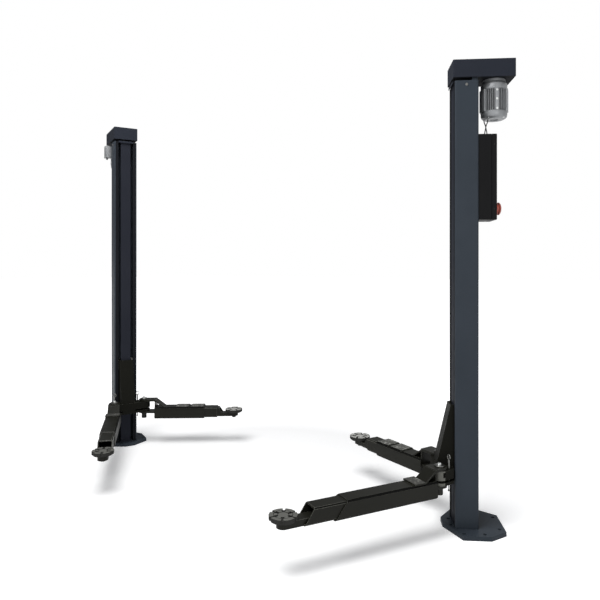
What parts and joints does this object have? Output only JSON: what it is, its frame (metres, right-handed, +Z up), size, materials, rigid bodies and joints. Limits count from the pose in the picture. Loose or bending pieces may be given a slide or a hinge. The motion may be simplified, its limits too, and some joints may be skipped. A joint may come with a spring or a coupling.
{
  "type": "two post car lift",
  "caption": "Two post vehicle lift with screw-driven carriages, swinging telescopic arms and round rubber pads on turned columns.",
  "frame": {"origin": "on the floor, midway between the inner front anchor holes of the two base plates", "axes": "+X towards the column with the control box, +Y across the bay towards the short arms, +Z up"},
  "size_m": [3.4618, 1.6296, 2.66],
  "materials": {
    "blue_grey_paint": "glossy",
    "black_paint": "glossy",
    "bare_steel": "satin",
    "galvanised_steel": "satin",
    "motor_paint": "satin",
    "rubber": "matt",
    "black_plastic": "satin",
    "grey_plastic": "satin",
    "red_plastic": "glossy"
  },
  "bodies": {
    "posts": {"right_base_plate": "blue_grey_paint", "right_column": "blue_grey_paint", "right_column_cap": "galvanised_steel", "right_slot_cover": "blue_grey_paint", "right_lead_screw": "bare_steel", "right_drive_plate": "blue_grey_paint", "right_head_cover": "blue_grey_paint", "right_motor": "motor_paint", "left_base_plate": "blue_grey_paint", "left_column": "blue_grey_paint", "left_column_cap": "galvanised_steel", "left_slot_cover": "blue_grey_paint", "left_lead_screw": "bare_steel", "left_drive_plate": "blue_grey_paint", "left_head_cover": "blue_grey_paint", "left_motor": "motor_paint", "right_control_box": "black_plastic", "right_main_switch": "red_plastic", "right_motor_cables": "rubber"},
    "right_carriage_unit": {"right_carriage": "black_paint", "right_guide_shoes": "grey_plastic", "right_pivot_pins": "bare_steel", "right_arm_locks": "bare_steel"},
    "right_long_arm_tube": {"right_long_arm_outer": "black_paint"},
    "right_long_arm_end": {"right_long_arm_inner": "black_paint"},
    "right_long_arm_support": {"right_long_arm_pad_screw": "bare_steel", "right_long_arm_pad": "rubber"},
    "right_short_arm_tube": {"right_short_arm_outer": "black_paint"},
    "right_short_arm_mid": {"right_short_arm_middle": "black_paint"},
    "right_short_arm_end": {"right_short_arm_inner": "black_paint"},
    "right_short_arm_support": {"right_short_arm_pad_screw": "bare_steel", "right_short_arm_pad": "rubber"},
    "left_carriage_unit": {"left_carriage": "black_paint", "left_guide_shoes": "grey_plastic", "left_pivot_pins": "bare_steel", "left_arm_locks": "bare_steel"},
    "left_long_arm_tube": {"left_long_arm_outer": "black_paint"},
    "left_long_arm_end": {"left_long_arm_inner": "black_paint"},
    "left_long_arm_support": {"left_long_arm_pad_screw": "bare_steel", "left_long_arm_pad": "rubber"},
    "left_short_arm_tube": {"left_short_arm_outer": "black_paint"},
    "left_short_arm_mid": {"left_short_arm_middle": "black_paint"},
    "left_short_arm_end": {"left_short_arm_inner": "black_paint"},
    "left_short_arm_support": {"left_short_arm_pad_screw": "bare_steel", "left_short_arm_pad": "rubber"}
  },
  "joints": [
    {"name": "right_carriage_lift", "type": "slide", "parent": "posts", "child": "right_carriage_unit", "axis": [0, 0, 1], "range_m": [-0.19, 1.62]},
    {"name": "right_long_arm_swing", "type": "hinge", "parent": "right_carriage_unit", "child": "right_long_arm_tube", "pos_m": [1.36618, -0.16856, 0.2725], "axis": [0, 0, 1], "range_deg": [-26, 39]},
    {"name": "right_long_arm_extend", "type": "slide", "parent": "right_long_arm_tube", "child": "right_long_arm_end", "axis": [-0.515, -0.8572, 0], "range_m": [-0.15, 0.25]},
    {"name": "right_long_arm_pad_height", "type": "slide", "parent": "right_long_arm_end", "child": "right_long_arm_support", "axis": [0, 0, 1], "range_m": [0, 0.022]},
    {"name": "right_short_arm_swing", "type": "hinge", "parent": "right_carriage_unit", "child": "right_short_arm_tube", "pos_m": [1.27971, 0.0686, 0.2725], "axis": [0, 0, 1], "range_deg": [-32.6, 22.4]},
    {"name": "right_short_arm_extend", "type": "slide", "parent": "right_short_arm_tube", "child": "right_short_arm_mid", "axis": [-0.9107, 0.4131, 0], "range_m": [-0.065, 0.2]},
    {"name": "right_short_arm_end_extend", "type": "slide", "parent": "right_short_arm_mid", "child": "right_short_arm_end", "axis": [-0.9107, 0.4131, 0], "range_m": [-0.06, 0.22]},
    {"name": "right_short_arm_pad_height", "type": "slide", "parent": "right_short_arm_end", "child": "right_short_arm_support", "axis": [0, 0, 1], "range_m": [0, 0.022]},
    {"name": "left_carriage_lift", "type": "slide", "parent": "posts", "child": "left_carriage_unit", "axis": [0, 0, 1], "range_m": [-0.19, 1.62]},
    {"name": "left_long_arm_swing", "type": "hinge", "parent": "left_carriage_unit", "child": "left_long_arm_tube", "pos_m": [-1.36618, -0.16856, 0.2725], "axis": [0, 0, -1], "range_deg": [-10.6, 54.4]},
    {"name": "left_long_arm_extend", "type": "slide", "parent": "left_long_arm_tube", "child": "left_long_arm_end", "axis": [0.7242, -0.6896, 0], "range_m": [-0.15, 0.25]},
    {"name": "left_long_arm_pad_height", "type": "slide", "parent": "left_long_arm_end", "child": "left_long_arm_support", "axis": [0, 0, 1], "range_m": [0, 0.022]},
    {"name": "left_short_arm_swing", "type": "hinge", "parent": "left_carriage_unit", "child": "left_short_arm_tube", "pos_m": [-1.27971, 0.0686, 0.2725], "axis": [0, 0, -1], "range_deg": [-22.5, 32.5]},
    {"name": "left_short_arm_extend", "type": "slide", "parent": "left_short_arm_tube", "child": "left_short_arm_mid", "axis": [0.8241, 0.5664, 0], "range_m": [-0.065, 0.2]},
    {"name": "left_short_arm_end_extend", "type": "slide", "parent": "left_short_arm_mid", "child": "left_short_arm_end", "axis": [0.8241, 0.5664, 0], "range_m": [-0.06, 0.22]},
    {"name": "left_short_arm_pad_height", "type": "slide", "parent": "left_short_arm_end", "child": "left_short_arm_support", "axis": [0, 0, 1], "range_m": [0, 0.022]}
  ],
  "couplings": [
    {"joint": "left_carriage_lift", "follows": "right_carriage_lift", "ratio": 1}
  ]
}
